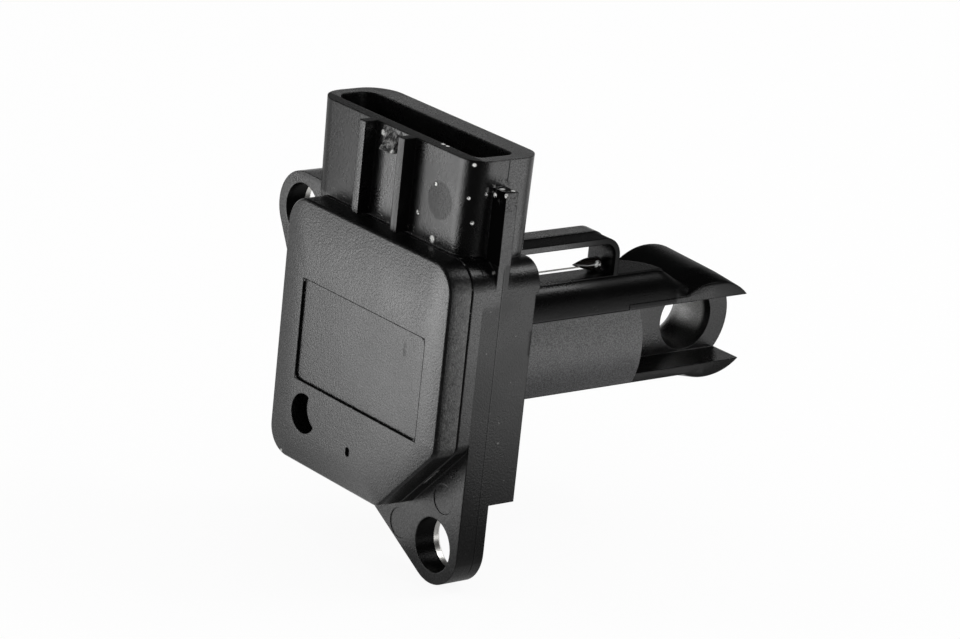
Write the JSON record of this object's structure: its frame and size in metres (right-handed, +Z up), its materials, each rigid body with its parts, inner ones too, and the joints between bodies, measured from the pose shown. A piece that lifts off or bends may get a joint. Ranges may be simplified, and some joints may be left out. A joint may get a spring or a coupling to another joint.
{
  "type": "mass airflow sensor",
  "caption": "Plug-in mass airflow sensor: flanged case with screw ears, an upright connector socket and an arm that ends in an oval air passage, with a guarded air temperature bead.",
  "frame": {"origin": "on the flange's rear mating face, straight behind the middle of the front cover", "axes": "+X right as the cover is seen, +Y into the air duct along the arm, +Z up, the way the connector opens"},
  "size_m": [0.0438, 0.0601, 0.0559],
  "materials": {
    "housing_plastic": "satin moulded black",
    "cover_plastic": "satin moulded black",
    "sealant": "cured adhesive",
    "bush_metal": "plated",
    "bead_glaze": "glossy dip coat",
    "lead_wire": "tinned wire",
    "plate_metal": "plain",
    "board_ceramic": "plain",
    "chip_resin": "moulded resin",
    "capacitor_ceramic": "plain",
    "clear_gel": "soft clear fill",
    "element_glaze": "glazed",
    "terminal_metal": "tin plated"
  },
  "bodies": {
    "root": {"housing": "housing_plastic", "front_cover": "cover_plastic", "bypass_cover": "cover_plastic", "cover_sealant": "sealant", "bypass_sealant": "sealant", "bush_lower": "bush_metal", "bush_upper": "bush_metal", "thermistor_bead": "bead_glaze", "thermistor_lead_a": "lead_wire", "thermistor_lead_b": "lead_wire", "base_plate": "plate_metal", "substrate": "board_ceramic", "control_chip": "chip_resin", "chip_capacitors": "capacitor_ceramic", "chip_resistors": "chip_resin", "circuit_gel": "clear_gel", "hot_element": "element_glaze", "cold_element": "element_glaze", "bond_wires": "plate_metal", "terminal_1": "terminal_metal", "terminal_2": "terminal_metal", "terminal_3": "terminal_metal", "terminal_4": "terminal_metal", "terminal_5": "terminal_metal", "element_pin_1": "terminal_metal", "element_pin_2": "terminal_metal", "element_pin_3": "terminal_metal", "element_pin_4": "terminal_metal"}
  },
  "joints": []
}
